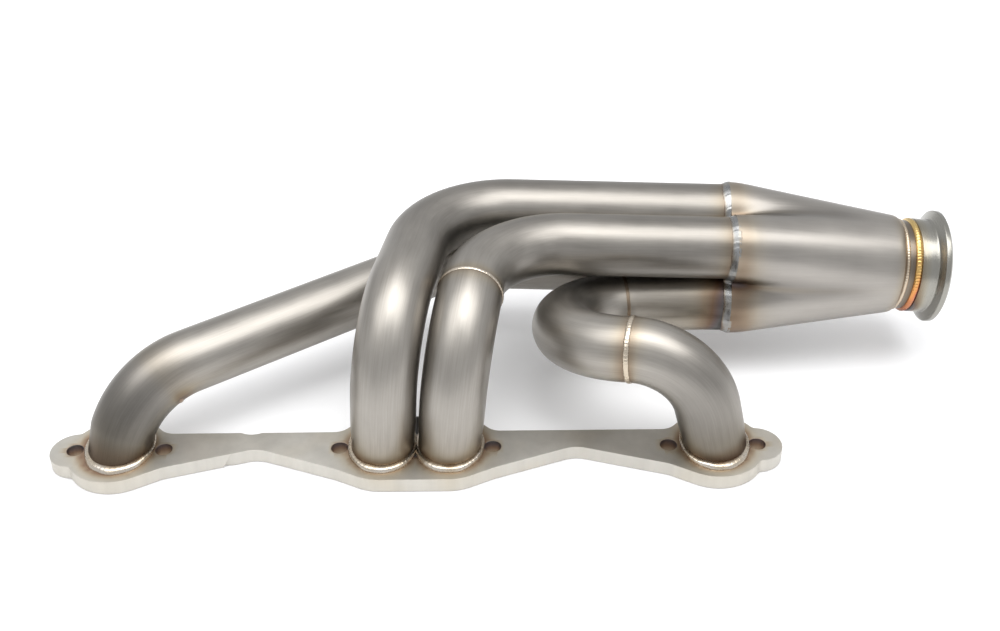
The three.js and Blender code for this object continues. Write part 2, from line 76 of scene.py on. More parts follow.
def placed(spec):
    """The matrix for a place and an attitude."""
    turn = Euler([math.radians(a) for a in (spec["roll"], -spec["pitch"], spec["yaw"])], "XYZ")
    return Matrix.Translation(Vector(spec["at"])) @ turn.to_matrix().to_4x4()


MERGE_M = placed(MERGE)
OUTLET_M = placed(OUTLET)


# ---------------------------------------------------------------- helpers
def smooth(low, high, value):
    t = min(1.0, max(0.0, (value - low) / (high - low)))
    return t * t * (3 - 2 * t)


def lerp(a, b, t):
    return a + (b - a) * t


def rough(x, y=0.0, z=0.0, scale=1.0):
    return noise.noise(Vector((x * scale, y * scale, z * scale)))


def underside(rise):
    """0 where a surface faces up and 1 where it faces down, from its direction's rise."""
    return 0.5 - 0.5 * rise


def underside_at(turn):
    """0 on top of a ring and 1 beneath it, from the angle round the ring."""
    return underside(math.sin(turn))


def oval(x, y, rx, ry, count):
    return [(x + rx * math.cos(2 * math.pi * k / count),
             y + ry * math.sin(2 * math.pi * k / count)) for k in range(count)]


def add_object(name, data):
    made = bpy.data.objects.new(name, data)
    bpy.context.scene.collection.objects.link(made)
    return made


def evaluated_mesh(holder):
    """The mesh that a curve or a modified object comes to."""
    bpy.context.view_layer.update()
    return bpy.data.meshes.new_from_object(
        holder.evaluated_get(bpy.context.evaluated_depsgraph_get()))


def dress(mesh, grain, heat_and_shade, painted_shade, material):
    """Gives a mesh its unrolled coordinates, heat tint, painted shade and material.

    The heat tint, with the painted shade that the plate adds to it, is stored under another name,
    because Cycles keeps the name "heat" for itself.
    """
    mesh.attributes.new("grain", "FLOAT_VECTOR", "POINT").data.foreach_set(
        "vector", [c * MM for g in grain for c in g])
    mesh.attributes.new("oxide_and_shade", "FLOAT", "POINT").data.foreach_set("value", heat_and_shade)
    mesh.attributes.new("painted_shade", "FLOAT", "POINT").data.foreach_set("value", painted_shade)
    mesh.polygons.foreach_set("use_smooth", [True] * len(mesh.polygons))
    mesh.materials.clear()
    mesh.materials.append(material)


def make_piece(name, points, faces, grain, heat_and_shade, material, nodes, painted_shade=None):
    """A mesh in millimetres becomes a piece in metres."""
    mesh = bpy.data.meshes.new(name)
    mesh.from_pydata([Vector(p) * MM for p in points], [], faces)
    dress(mesh, grain, heat_and_shade, painted_shade or [1.0] * len(points), material)
    mesh.update()
    piece = add_object(name, mesh)
    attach(piece, "root")
    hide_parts(*nodes)
    return piece


def grid_faces(rows, columns, close_rows):
    """Quads of a grid whose columns close on themselves, and whose rows may."""
    faces = []
    for r in range(rows if close_rows else rows - 1):
        for c in range(columns):
            a, b = r * columns + c, r * columns + (c + 1) % columns
            e = ((r + 1) % rows) * columns
            faces.append((a, b, e + (c + 1) % columns, e + c))
    return faces


def sharpen(piece, angle=35):
    """Marks the edges between faces that meet at more than the angle as sharp."""
    piece.data.set_sharp_from_angle(angle=math.radians(angle))


# ---------------------------------------------------------------- runner routes
def route(corners, radii):
    """Points along straight legs joined by round bends: (point, heading, distance)."""
    found = []

    def add(point, heading):
        run = found[-1][2] + (point - found[-1][0]).length if found else 0.0
        found.append((point.copy(), heading.copy(), run))

    def leg(start, end, heading):
        count = max(1, math.ceil((end - start).length / 3.0))
        for k in range(1, count + 1):
            add(start.lerp(end, k / count), heading)

    heading = (corners[1] - corners[0]).normalized()
    add(corners[0], heading)
    for index, radius in enumerate(radii):
        corner = corners[index + 1]
        onward = (corners[index + 2] - corner).normalized()
        turn = heading.angle(onward)
        entry = corner - heading * radius * math.tan(turn / 2)
        inward = (onward - heading * onward.dot(heading)).normalized()
        centre = entry + inward * radius
        leg(found[-1][0], entry, heading)
        steps = max(2, math.ceil(turn / math.radians(2.5)))
        for k in range(1, steps + 1):
            angle = turn * k / steps
            add(centre - inward * radius * math.cos(angle) + heading * radius * math.sin(angle),
                heading * math.cos(angle) + inward * math.sin(angle))
        heading = onward
    leg(found[-1][0], corners[-1], heading)
    return found


def runner_route(runner):
    foot = Vector((runner["port"], 0, PLATE))
    corners = [Vector(c) for c in runner["corners"]]
    start = foot - (corners[0] - foot).normalized() * START_DEPTH
    side, level = runner["slot"]
    tail = [MERGE_M @ Vector((x, side * BUNDLE, level * BUNDLE))
            for x in (-runner["entry"], INSERTION)]
    return route([start, *corners, *tail], runner["bends"])


def station(path, distance):
    for (p, h, d), (q, g, e) in zip(path, path[1:]):
        if e >= distance:
            t = (distance - d) / (e - d)
            return p.lerp(q, t), h.lerp(g, t).normalized(), distance
    return path[-1]


def carried_frames(path):
    """A normal for each station, carried along the route without twist."""
    normal = path[0][1].orthogonal().normalized()
    normals = []
    for index, (_, heading, _) in enumerate(path):
        if index:
            normal = path[index - 1][1].rotation_difference(heading) @ normal
        normal = (normal - heading * normal.dot(heading)).normalized()
        normals.append(normal.copy())
    return normals


def pressed(point, port):
    """The foot of a tube is oval, and rounds out above the flange."""
    share = smooth(0.0, 1.0, (point.z - PLATE) / FOOT_HEIGHT)
    return Vector((port + (point.x - port) * lerp(FOOT_HALF[0] / TUBE_R, 1, share),
                   point.y * lerp(FOOT_HALF[1] / TUBE_R, 1, share), point.z))


ROUTES = {n: runner_route(r) for n, r in RUNNERS.items()}


# ---------------------------------------------------------------- materials
def new_material(name):
    material = bpy.data.materials.new(name)
    material.use_nodes = True
    return material, material.node_tree


def node(tree, kind, inputs=None, **settings):
    made = tree.nodes.new(kind)
    for key, value in settings.items():
        setattr(made, key, value)
    for key, value in (inputs or {}).items():
        if isinstance(value, bpy.types.NodeSocket):
            tree.links.new(value, made.inputs[key])
        else:
            made.inputs[key].default_value = value
    return made


def ramp(tree, factor, stops):
    made = node(tree, "ShaderNodeValToRGB", {"Fac": factor})
    elements = made.color_ramp.elements
    for index, (place, colour) in enumerate(stops):
        element = elements[index] if index < 2 else elements.new(place)
        element.position = place
        element.color = (*colour, 1)
    return made.outputs["Color"]


def math_node(tree, operation, a, b, clamp=False):
    return node(tree, "ShaderNodeMath", {0: a, 1: b}, operation=operation,
                use_clamp=clamp).outputs[0]


def mixed(tree, factor, a, b, blend="MIX"):
    made = node(tree, "ShaderNodeMix", data_type="RGBA", blend_type=blend)
    for socket, value in ((made.inputs[0], factor), (made.inputs[6], a), (made.inputs[7], b)):
        if isinstance(value, bpy.types.NodeSocket):
            tree.links.new(value, socket)
        else:
            socket.default_value = value if isinstance(value, float) else (*value, 1)
    return made.outputs[2]


def grain_noise(tree, coordinate, stretch, scale, detail=3.0, roughness=0.55):
    moved = node(tree, "ShaderNodeVectorMath", {0: coordinate, 1: stretch}, operation="MULTIPLY")
    return node(tree, "ShaderNodeTexNoise",
                {"Vector": moved.outputs[0], "Scale": scale, "Detail": detail,
                 "Roughness": roughness}).outputs["Fac"]


# Straw, brown, violet and grey oxide, and at the end a near black that paints shade.
HEAT_AND_SHADE_TINTS = [(0.0, (1, 1, 1)), (0.16, (0.97, 0.92, 0.83)), (0.34, (0.76, 0.63, 0.50)),
              (0.55, (0.50, 0.35, 0.26)), (0.72, (0.36, 0.29, 0.30)), (0.86, (0.30, 0.30, 0.32)),
              (1.0, (0.10, 0.09, 0.085))]


def steel(name, light, dark, rough_low, rough_high, streak=0.6, grit=0.15, bump=0.06,
          tints=HEAT_AND_SHADE_TINTS):
    """Satin stainless: fine drawn streaks, cloudy tone, heat tint from the piece's heat, and the
    piece's painted shade, which darkens the base colour.
    """
    broad_weight, cloud_weight = 0.8, 0.6
    material, tree = new_material(name)
    shader = tree.nodes["Principled BSDF"]
    grain = node(tree, "ShaderNodeAttribute", attribute_name="grain").outputs["Vector"]
    heat_and_shade = node(tree, "ShaderNodeAttribute", attribute_name="oxide_and_shade").outputs["Fac"]
    painted_shade = node(tree, "ShaderNodeAttribute", attribute_name="painted_shade").outputs["Fac"]
    streaks = grain_noise(tree, grain, (1, 1, 0.03), 1500, 4)
    broad = grain_noise(tree, grain, (1, 1, 0.12), 130, 3)
    cloud = grain_noise(tree, grain, (1, 1, 1), 34, 4)
    specks = grain_noise(tree, grain, (1, 1, 1), 2600, 2)
    tone = math_node(tree, "MULTIPLY_ADD", streaks, streak)
    tone.node.inputs[2].default_value = 0.5 - 0.5 * (streak + (broad_weight + cloud_weight))
    tone = math_node(tree, "ADD", tone, math_node(tree, "MULTIPLY", broad, broad_weight))
    tone = math_node(tree, "ADD", tone, math_node(tree, "MULTIPLY", cloud, cloud_weight),
                     clamp=True)
    base = mixed(tree, tone, dark, light)
    wander = math_node(tree, "MULTIPLY", math_node(tree, "SUBTRACT", cloud, 0.5), 0.5)
    spread = math_node(tree, "MULTIPLY", heat_and_shade, math_node(tree, "ADD", wander, 1.0))
    tint = ramp(tree, spread, tints)
    # Painted shade: the base colour is darkened by the piece's painted shade.
    shaded_base = node(tree, "ShaderNodeVectorMath", {0: base}, operation="SCALE")
    tree.links.new(painted_shade, shaded_base.inputs["Scale"])
    colour = mixed(tree, 1.0, shaded_base.outputs[0], tint, "MULTIPLY")
    tree.links.new(colour, shader.inputs["Base Color"])
    shader.inputs["Metallic"].default_value = 1.0
    level = math_node(tree, "ADD", math_node(tree, "MULTIPLY", streaks, 0.5),
                      math_node(tree, "MULTIPLY", cloud, 0.5))
    finish = node(tree, "ShaderNodeMapRange", {"Value": level, "From Min": 0.3, "From Max": 0.7,
                                               "To Min": rough_low, "To Max": rough_high})
    tree.links.new(finish.outputs[0], shader.inputs["Roughness"])
    height = math_node(tree, "ADD", math_node(tree, "MULTIPLY", streaks, 1.0 - grit),
                       math_node(tree, "MULTIPLY", specks, grit))
    relief = node(tree, "ShaderNodeBump", {"Height": height, "Strength": bump, "Distance": 0.0004})
    tree.links.new(relief.outputs[0], shader.inputs["Normal"])
    return material


TUBE_STEEL = steel("tube_steel", (0.45, 0.424, 0.386), (0.255, 0.238, 0.215), 0.34, 0.46)
COLLECTOR_STEEL = steel("collector_steel", (0.44, 0.414, 0.382), (0.30, 0.282, 0.259), 0.31, 0.42,
                        streak=0.4)
NECK_STEEL = steel("neck_steel", (0.24, 0.215, 0.190), (0.17, 0.152, 0.136), 0.24, 0.36)
PLATE_STEEL = steel("plate_steel", (0.645, 0.622, 0.572), (0.49, 0.472, 0.432), 0.42, 0.56,
                    streak=0.15, grit=0.8, bump=0.16)
BEAD_STEEL = steel("bead_steel", (0.70, 0.64, 0.56), (0.50, 0.45, 0.39), 0.20, 0.34, grit=0.6,
                   bump=0.10)
MERGE_BEAD_STEEL = steel("merge_bead_steel", (0.46, 0.465, 0.47), (0.15, 0.155, 0.16), 0.20, 0.44,
                         grit=0.6, bump=0.2)
GOLD_TINTS = [(0.0, (1.0, 0.86, 0.42)), (0.3, (1.0, 0.70, 0.28)), (0.5, (0.90, 0.42, 0.17)),
              (0.68, (0.62, 0.24, 0.20)), (0.8, (0.42, 0.22, 0.36)), (1.0, (0.86, 0.40, 0.16))]
GOLD_BEAD = steel("gold_bead", (0.78, 0.70, 0.62), (0.60, 0.53, 0.46), 0.16, 0.28, grit=0.5,
                  bump=0.1, tints=GOLD_TINTS)
VBAND_STEEL = steel("vband_steel", (0.37, 0.36, 0.325), (0.27, 0.262, 0.236), 0.20, 0.30,
                    streak=0.2)


# ---------------------------------------------------------------- runners
def joint_at(number, joint):
    """A joint's distance along its runner's route."""
    return START_DEPTH + RUNNERS[number]["joints"][joint]


# Heat beside each weld: distance along the runner, reach before and after it, and how strong.
# None is the collector's inlet.
HEAT = {
    1: [(START_DEPTH, 3, 6, 0.36), (START_DEPTH, 3, 18, 0.20), (joint_at(1, 0), 5, 13, 0.42),
        (None, 10, 5, 0.40)],
    2: [(START_DEPTH, 3, 5, 0.40), (START_DEPTH, 3, 18, 0.18), (None, 10, 5, 0.40)],
    3: [(START_DEPTH, 3, 5, 0.42), (START_DEPTH, 3, 18, 0.18), (joint_at(3, 0), 5, 4, 0.34),
        (None, 10, 5, 0.42)],
    4: [(START_DEPTH, 3, 6, 0.50), (START_DEPTH, 3, 22, 0.22), (joint_at(4, 0), 6, 7, 0.40),
        (joint_at(4, 1), 3, 3, 0.10), (None, 15, 5, 0.80), (None, 60, 5, 0.14)],
}


def runner_heat(number, run, total, normal):
    """Heat at a distance along a runner. Away from the feet it is stronger underneath."""
    low = underside(normal.z)
    level = 0.0
    for place, before, after, strength in HEAT[number]:
        gap = run - (total - INSERTION if place is None else place)
        reach = before if gap < 0 else after
        part = strength * math.exp(-(gap / reach) ** 2)
        if number == 1 and place == joint_at(1, 0):
            part *= 0.25 + 1.1 * smooth(0.35, 0.85, low)
        elif place is None or place > START_DEPTH:
            part *= 0.75 + 0.6 * low
        level += part
    return min(1.0, level)


def runner_painted_shade(number, run, direction):
    """Painted shade: tubes 1 and 4 darker near their feet, tube 1 more so to the right and on its
    upper side, tube 4 more so on its left; tubes 2 and 3 darker on their way to the outlet, which
    dims their highlights there.
    """
    along = run - START_DEPTH
    if number == 1:
        return lerp(0.46, 1.0, smooth(18, 66, along - 16 * direction.x - 14 * direction.z))
    if number == 4:
        return lerp(0.58, 1.0, smooth(10, 95, along + 22 * direction.x))
    return lerp(1.0, 0.78, smooth(105, 185, along))


def tube_piece(number, index, name):
    """One length of a runner, hollow, from one joint to the next."""
    end_margin, foot_margin = 0.8, 0.5
    runner, path = RUNNERS[number], ROUTES[number]
    total = path[-1][2]
    cuts = [START_DEPTH, *[j + START_DEPTH for j in runner["joints"]], total]
    begin, end = cuts[index], cuts[index + 1]
    normals = carried_frames(path)
    stations = []
    for k, (point, heading, run) in enumerate(path):
        if begin + end_margin < run < end - end_margin:
            stations.append((point, heading, run, normals[k]))
    for run in (begin, end):
        k = min(range(len(path)), key=lambda i: abs(path[i][2] - run))
        point, heading, _ = station(path, run)
        normal = (normals[k] - heading * normals[k].dot(heading)).normalized()
        stations.insert(0 if run == begin else len(stations), (point, heading, run, normal))
    rings = []
    for point, heading, run, normal in stations:
        across = heading.cross(normal)
        rings.append((point, heading, run, [
            normal * math.cos(2 * math.pi * s / TUBE_SIDES)
            + across * math.sin(2 * math.pi * s / TUBE_SIDES) for s in range(TUBE_SIDES)]))
    points, grain, heat_and_shade, painted_shade = [], [], [], []

    def add_ring(ring, radius, flat):
        point, heading, run, outward = ring
        made = []
        for direction in outward:
            spot = point + direction * radius
            if index == 0:
                spot = pressed(spot, runner["port"])
            if flat:
                spot = spot + heading * ((PLATE - spot.z) / heading.z)
            made.append(spot)
        if not flat and index == 0 and min(p.z for p in made) < PLATE + foot_margin:
            return False
        for s, direction in enumerate(outward):
            turn = 2 * math.pi * s / TUBE_SIDES
            points.append(made[s])
            grain.append((TUBE_R * math.cos(turn), TUBE_R * math.sin(turn), run))
            heat_and_shade.append(runner_heat(number, run, total, direction))
            painted_shade.append(runner_painted_shade(number, run, direction))
        return True

    count = 0
    for k, ring in enumerate(rings):
        count += add_ring(ring, TUBE_R, index == 0 and k == 0)
    for k, ring in reversed(list(enumerate(rings))):
        count += add_ring(ring, TUBE_R - TUBE_WALL, index == 0 and k == 0)
    piece = make_piece(name + "_skin", points, grid_faces(count, TUBE_SIDES, True), grain, heat_and_shade,
                       TUBE_STEEL, [name], painted_shade)
    sharpen(piece)


for number, names in PIECES.items():
    for index, name in enumerate(names):
        tube_piece(number, index, name)


# ---------------------------------------------------------------- weld beads
def bead_ring(name, place, steps, rows, material, node_name, heat_at):
    """A closed bead: place(turn, s) gives the point at a turn and a place across, -1 to 1."""
    points, grain, heat_and_shade = [], [], []
    for k in range(steps):
        turn = 2 * math.pi * k / steps
        for row in range(rows):
            s = -1 + 2 * row / (rows - 1)
            point = place(turn, s)
            points.append(point)
            grain.append((point.x, point.y, point.z))
            heat_and_shade.append(heat_at(turn, s, point))
    faces = grid_faces(steps, rows, True)
    return make_piece(name, points, faces, grain, heat_and_shade, material, [node_name])


def ripple(length, s, pitch, seed):
    """Overlapping crescents left by the torch: a saw-tooth along the bead, bent across it."""
    wander = 0.35 * rough(length * 0.11, seed, 0.0)
    phase = length / pitch + wander - 0.45 * s * s
    saw = phase - math.floor(phase)
    return 1.0 - saw ** 1.6


def joint_bead(number, joint, name, width, height, heat_and_shade=0.0, fade=0.0, steel_finish=BEAD_STEEL):
    """A bead round a butt joint. Where it was dressed, at the top, fade brings it down flush."""
    path = ROUTES[number]
    point, heading, _ = station(path, joint_at(number, joint))
    normal = heading.orthogonal().normalized()
    across = heading.cross(normal)
    rows = 12

    def dressed(around):
        return 1 - fade * smooth(-0.75, -0.35, around.z)

    def place(turn, s):
        around = normal * math.cos(turn) + across * math.sin(turn)
        length = turn * TUBE_R
        sway = 0.22 * rough(length * 0.16, number, joint)
        if s >= 1.0:
            return point + around * (TUBE_R - 0.5)
        share = s + 1.0 / (rows - 1)
        crown = max(0.0, 1 - abs(share) ** 2.4)
        full = dressed(around)
        shape = height * crown * (0.78 + 0.34 * ripple(length, share, 2.3, number)) * full
        half = width / 2 * (1 + 0.10 * rough(length * 0.5, number + 3, share))
        lift = -0.25 + (0.15 + 0.10 * full) * min(1.0, 4 * crown) + shape
        return point + heading * (share * half + sway) + around * (TUBE_R + lift)

    def heat_at(turn, s, spot):
        outward = (spot - point).normalized()
        return heat_and_shade * (0.6 + 0.6 * underside(outward.z)) + 0.3 * (1 - dressed(outward))

    return bead_ring(name + "_bead", place, 360, rows, steel_finish, name, heat_at)


joint_bead(1, 0, "runner_1_joint_weld", 3.4, 0.5, 0.30, fade=0.9)
joint_bead(3, 0, "runner_3_joint_weld", 3.0, 0.6, 0.12)
joint_bead(4, 0, "runner_4_front_weld", 3.8, 0.6, 0.18)
joint_bead(4, 1, "runner_4_rear_weld", 2.6, 0.16, 0.5, steel_finish=TUBE_STEEL)


def foot_bead(number, name):
    """The fillet round a tube's foot, broader to the front and back, leaning with the tube."""
    runner = RUNNERS[number]
    foot = station(ROUTES[number], START_DEPTH)[0]
    centre_x = runner["port"] + (foot.x - runner["port"]) * FOOT_HALF[0] / TUBE_R
    centre_y = foot.y * FOOT_HALF[1] / TUBE_R
    lean_over = 3.5
    lean = station(ROUTES[number], START_DEPTH + lean_over)[0] - foot
    rows = 12

    def place(turn, s):
        length = turn * FOOT_MEAN_R
        share = (s + 1) / 2 * (rows / (rows - 1))
        c, n = math.cos(turn), math.sin(turn)
        crest = ripple(length, 2 * share - 1, 2.9, number)
        full = 1 + 0.12 * rough(length * 0.13, number, 5)
        leg = lerp(2.6, 4.9, n * n) * full + 0.05 * crest
        rise = 2.9 * (1 + 0.12 * rough(length * 0.15, number, 9))
        if share > 1:
            offset, z = -1.2, -0.4
        else:
            bulge = math.sin(math.pi * share) * (0.95 + 0.06 * crest)
            offset = leg * (1 - share) + bulge - 0.15
            z = rise * share + bulge - 0.1 * (1 - share)
        slide = lean * (max(z, 0) / max(lean.z, 1))
        return Vector((centre_x + (FOOT_HALF[0] + offset) * c + slide.x,
                       centre_y + (FOOT_HALF[1] + offset) * n + slide.y, PLATE + z))

    def heat_at(turn, s, spot):
        return max(0.0, 0.10 + 0.10 * s + 0.25 * rough(turn * 2.2, number, 1))

    return bead_ring(name + "_bead", place, 400, rows, BEAD_STEEL, name, heat_at)


for number in RUNNERS:
    foot_bead(number, f"port_weld_{number}")


# ---------------------------------------------------------------- head flange
PORT_LOBE_R = 31
BOLT_LOBE_R = 16
LOBE_NECK_R = 4
SHOULDER_R = 12
INNER_SHOULDER = (34, -32.5)
OUTER_SHOULDER = (-36, -30.5)
WAIST_X = 102
WAIST_R = 20
WAIST_FRONT_Y = -3
WAIST_BACK_Y = 14.3
FLAT = {"from": -123, "to": -90, "slant": 6, "y": -6.4}
SCALLOP = {"x": -107, "radius": 14, "depth": 1.9}
PLATE_EASE = 0.35


def belt(circles, step):
    """An outline wrapped like a belt: turn 1 wraps outside a lobe, -1 hugs a hollow."""
    outline = []

    def heading(a, b):
        dx, dy = b[0] - a[0], b[1] - a[1]
        offset = (a[3] * a[2] - b[3] * b[2]) / math.hypot(dx, dy)
        return math.atan2(dy, dx) + math.asin(max(-1, min(1, offset)))

    for k, (x, y, radius, turn) in enumerate(circles):
        quarter = turn * math.pi / 2
        start = heading(circles[k - 1], circles[k]) - quarter
        sweep = heading(circles[k], circles[(k + 1) % len(circles)]) - quarter - start
        sweep = sweep % (2 * math.pi) if turn > 0 else -((-sweep) % (2 * math.pi))
        count = max(2, math.ceil(abs(sweep) * radius / step))
        for j in range(count + 1):
            angle = start + sweep * j / count
            outline.append((x + radius * math.cos(angle), y + radius * math.sin(angle)))
    return outline


def hollow_between(a, b, radius, side):
    """The hollow that touches two lobes."""
    ra, rb = a[2] + radius, b[2] + radius
    dx, dy = b[0] - a[0], b[1] - a[1]
    span = math.hypot(dx, dy)
    along = (ra * ra - rb * rb + span * span) / (2 * span)
    across = side * math.sqrt(ra * ra - along * along)
    return (a[0] + (dx * along - dy * across) / span, a[1] + (dy * along + dx * across) / span,
            radius, -1)


def hollow_on_edge(a, level, radius, side):
    """The hollow that touches a lobe and a straight edge along X."""
    reach, rise = a[2] + radius, abs(level - a[1]) + radius
    return (a[0] + side * math.sqrt(reach ** 2 - rise ** 2), a[1] + math.copysign(rise, level),
            radius, -1)


def flange_outline():
    inner, outer = ((x, BOLT_Y, PORT_LOBE_R, 1) for x in PORT_X)
    end = (BOLT_X[2], BOLT_Y, BOLT_LOBE_R, 1)
    right = [inner, (inner[0] + INNER_SHOULDER[0], INNER_SHOULDER[1], SHOULDER_R, -1),
             (WAIST_X, WAIST_FRONT_Y - WAIST_R, WAIST_R, -1),
             (outer[0] + OUTER_SHOULDER[0], OUTER_SHOULDER[1], SHOULDER_R, -1), outer,
             hollow_between(outer, end, LOBE_NECK_R, -1), end,
             hollow_between(outer, end, LOBE_NECK_R, 1), outer,
             hollow_on_edge(outer, WAIST_BACK_Y, SHOULDER_R, -1),
             hollow_on_edge(inner, WAIST_BACK_Y, SHOULDER_R, 1), inner]
    left = [(-x, y, r, t) for x, y, r, t in reversed(right)]
    return belt(right + left, 1.0)


def prism(name, outline, low, high, axis):
    """A cutter: an outline in two axes carried from low to high along the third."""
    def spot(a, b, level):
        return Vector((a, level, b)) if axis == 1 else Vector((a, b, level))

    count = len(outline)
    points = [spot(a, b, level) * MM for level in (low, high) for a, b in outline]
    faces = [tuple(range(count)), tuple(range(2 * count - 1, count - 1, -1))]
    faces += [(k, count + k, count + (k + 1) % count, (k + 1) % count) for k in range(count)]
    work = bmesh.new()
    mesh = bpy.data.meshes.new(name)
    mesh.from_pydata(points, [], faces)
    work.from_mesh(mesh)
    bmesh.ops.recalc_face_normals(work, faces=work.faces)
    work.to_mesh(mesh)
    work.free()
    return add_object(name, mesh)


def waist_cuts(mesh):
    """The left waist's front edge has a flat with a slanted end, and its back edge a scallop."""
    flat = prism("flat", [(FLAT["from"], -1), (FLAT["to"], -1), (FLAT["to"], PLATE + 1),
                          (FLAT["from"] + FLAT["slant"], PLATE + 1)], -60, FLAT["y"], 1)
    radius = SCALLOP["radius"]
    middle = WAIST_BACK_Y + radius - SCALLOP["depth"]
    scallop = prism("scallop", oval(SCALLOP["x"], middle, radius, radius, 180), -5, PLATE + 5, 2)
    holder = add_object("plate_to_cut", mesh)
    for cutter in (flat, scallop):
        cut = holder.modifiers.new(cutter.name, "BOOLEAN")
        cut.operation, cut.solver, cut.object = "DIFFERENCE", "EXACT", cutter
    done = evaluated_mesh(holder)
    for spare in (holder, flat, scallop):
        used = spare.data
        bpy.data.objects.remove(spare)
        bpy.data.meshes.remove(used)
    return done


def plate_mesh():
    """The plate with its ports and holes, edges eased, and its faces cut finely for the tint."""
    curve = bpy.data.curves.new("plate_outline", "CURVE")
    curve.dimensions = "2D"
    curve.fill_mode = "BOTH"

    def ring(points):
        spline = curve.splines.new("POLY")
        spline.points.add(len(points) - 1)
        for spot, (x, y) in zip(spline.points, points):
            spot.co = (x * MM, y * MM, 0, 1)
        spline.use_cyclic_u = True

    ring(flange_outline())
    for x in BOLT_X:
        ring(oval(x, BOLT_Y, BOLT_R, BOLT_R, 48))
        ring(oval(-x, BOLT_Y, BOLT_R, BOLT_R, 48))
    for path in ROUTES.values():
        foot = station(path, START_DEPTH)[0]
        ring(oval(foot.x, foot.y, FOOT_HALF[0] - TUBE_WALL, FOOT_HALF[1] - TUBE_WALL, 96))
    curve.extrude = (PLATE / 2 - PLATE_EASE) * MM
    curve.bevel_depth = PLATE_EASE * MM
    curve.bevel_resolution = 2
    curve.offset = -PLATE_EASE * MM
    holder = add_object("plate_outline", curve)
    mesh = evaluated_mesh(holder)
    bpy.data.objects.remove(holder)
    bpy.data.curves.remove(curve)
    mesh.transform(Matrix.Translation((0, 0, PLATE / 2 * MM)))
    work = bmesh.new()
    work.from_mesh(mesh)
    bmesh.ops.remove_doubles(work, verts=work.verts, dist=1e-6)
    bmesh.ops.recalc_face_normals(work, faces=work.faces)
    work.to_mesh(mesh)
    work.free()
    mesh = waist_cuts(mesh)
    work = bmesh.new()
    work.from_mesh(mesh)
    bmesh.ops.remove_doubles(work, verts=work.verts, dist=1e-6)
    grid_step = 4.0
    for axis, first, last in ((0, -232, 232), (1, -32, 28)):
        place = first
        while place <= last:
            at, normal = [0, 0, 0], [0, 0, 0]
            at[axis], normal[axis] = place * MM, 1
            bmesh.ops.bisect_plane(work, geom=[*work.verts, *work.edges, *work.faces],
                                   plane_co=at, plane_no=normal, dist=1e-7)
            place += grid_step
    bmesh.ops.recalc_face_normals(work, faces=work.faces)
    work.to_mesh(mesh)
    work.free()
    return mesh


def port_gap(x, y):
    """Distance from the nearest tube foot, in millimetres."""
    return min(math.hypot((x - r["port"]) / FOOT_HALF[0], y / FOOT_HALF[1])
               * FOOT_MEAN_R - FOOT_MEAN_R for r in RUNNERS.values())


def add_plate():
    """The flange plate: heat tinted round its welds and holes, with painted shade between the
    middle feet, on the walls of the bolt holes, and deepening the tint close round each foot.
    """
    mesh = plate_mesh()
    heat_and_shade, grain = [], []
    for vertex in mesh.vertices:
        x, y, z = (c / MM for c in vertex.co)
        gap = port_gap(x, y)
        # Heat tint round each foot, deepened close in by painted shade where the tube meets the
        # plate.
        value = 0.54 * math.exp(-max(0, gap - 3.5) / 3.4)
        # Painted shade: near black between the two middle feet, where shade falls.
        shade_between_feet = math.exp(-(x / 4.5) ** 2) * smooth(-17, -8, y)
        value = max(value, 0.95 * shade_between_feet)
        # Painted shade darkens the walls of the bolt holes, and a faint heat tint rings their
        # tops.
        hole = min(math.hypot(abs(x) - b, y - BOLT_Y) for b in BOLT_X)
        if hole < BOLT_R + 0.2:
            value = max(value, 0.78)
        elif hole < BOLT_R + 2:
            value = max(value, 0.24)
        if z < 1:
            value *= 0.4
        value += 0.10 * max(0, rough(x, y, z, 0.05)) * smooth(3, 12, gap)
        heat_and_shade.append(min(1.0, value))
        grain.append((x, y, z))
    dress(mesh, grain, heat_and_shade, [1.0] * len(heat_and_shade), PLATE_STEEL)
    piece = add_object("head_flange_plate", mesh)
    sharpen(piece, 28)
    weighted = piece.modifiers.new("weighted", "WEIGHTED_NORMAL")
    weighted.keep_sharp = True
    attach(piece, "root")
    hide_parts("head_flange")


add_plate()


# ---------------------------------------------------------------- collector
LOBE_AT = BUNDLE * math.sqrt(2)
SOCKET_GAP = 0.3
COLLECTOR_WALL = 1.4
SOCKET_R = TUBE_R + SOCKET_GAP + COLLECTOR_WALL
TAPER_EASE = 0.12
BRIDGE_ANGLE = 41.5
LIP_FROM, LIP_SPAN = 0.965, 0.035
END_R = 33.0
BEAD_VALLEY_R = 25.8
NECK_R = 30.4
NECK_WALL = 1.65
VBAND_LENGTH, VBAND_WELD_WIDTH, NECK_LENGTH = 18.4, 4.2, 6.0
NECK_START = -(VBAND_LENGTH + VBAND_WELD_WIDTH + NECK_LENGTH)


def off_lobe(angle):
    """The angle from the middle of the nearest lobe, up to an eighth of a turn in a valley."""
    return abs((angle % (math.pi / 2)) - math.pi / 4)


def lobed(angle, distance, radius, least=0.0):
    """The radius of a section made of four round lobes, bridged across its valleys."""
    def reach(swing):
        across = distance * math.sin(swing)
        return distance * math.cos(swing) + math.sqrt(max(0.0, radius * radius - across * across))

    return max(reach(min(off_lobe(angle), math.radians(BRIDGE_ANGLE))), least)


def soft_lobed(angle, distance, radius, blur, least=0.0):
    """The lobed section with its valleys rounded, by averaging over a few degrees."""
    weights = [(-2, 1), (-1, 4), (0, 6), (1, 4), (2, 1)]
    return sum(w * lobed(angle + math.radians(blur) * k, distance, radius, least)
               for k, w in weights) / 16


def collector_frame(share):
    """The centre and attitude of the collector at a share of its length."""
    start = Vector(MERGE["at"])
    end = OUTLET_M @ Vector((NECK_START - 0.3, 0, 0))
    turn = MERGE_M.to_quaternion().slerp(OUTLET_M.to_quaternion(), share)
    return start.lerp(end, share), turn


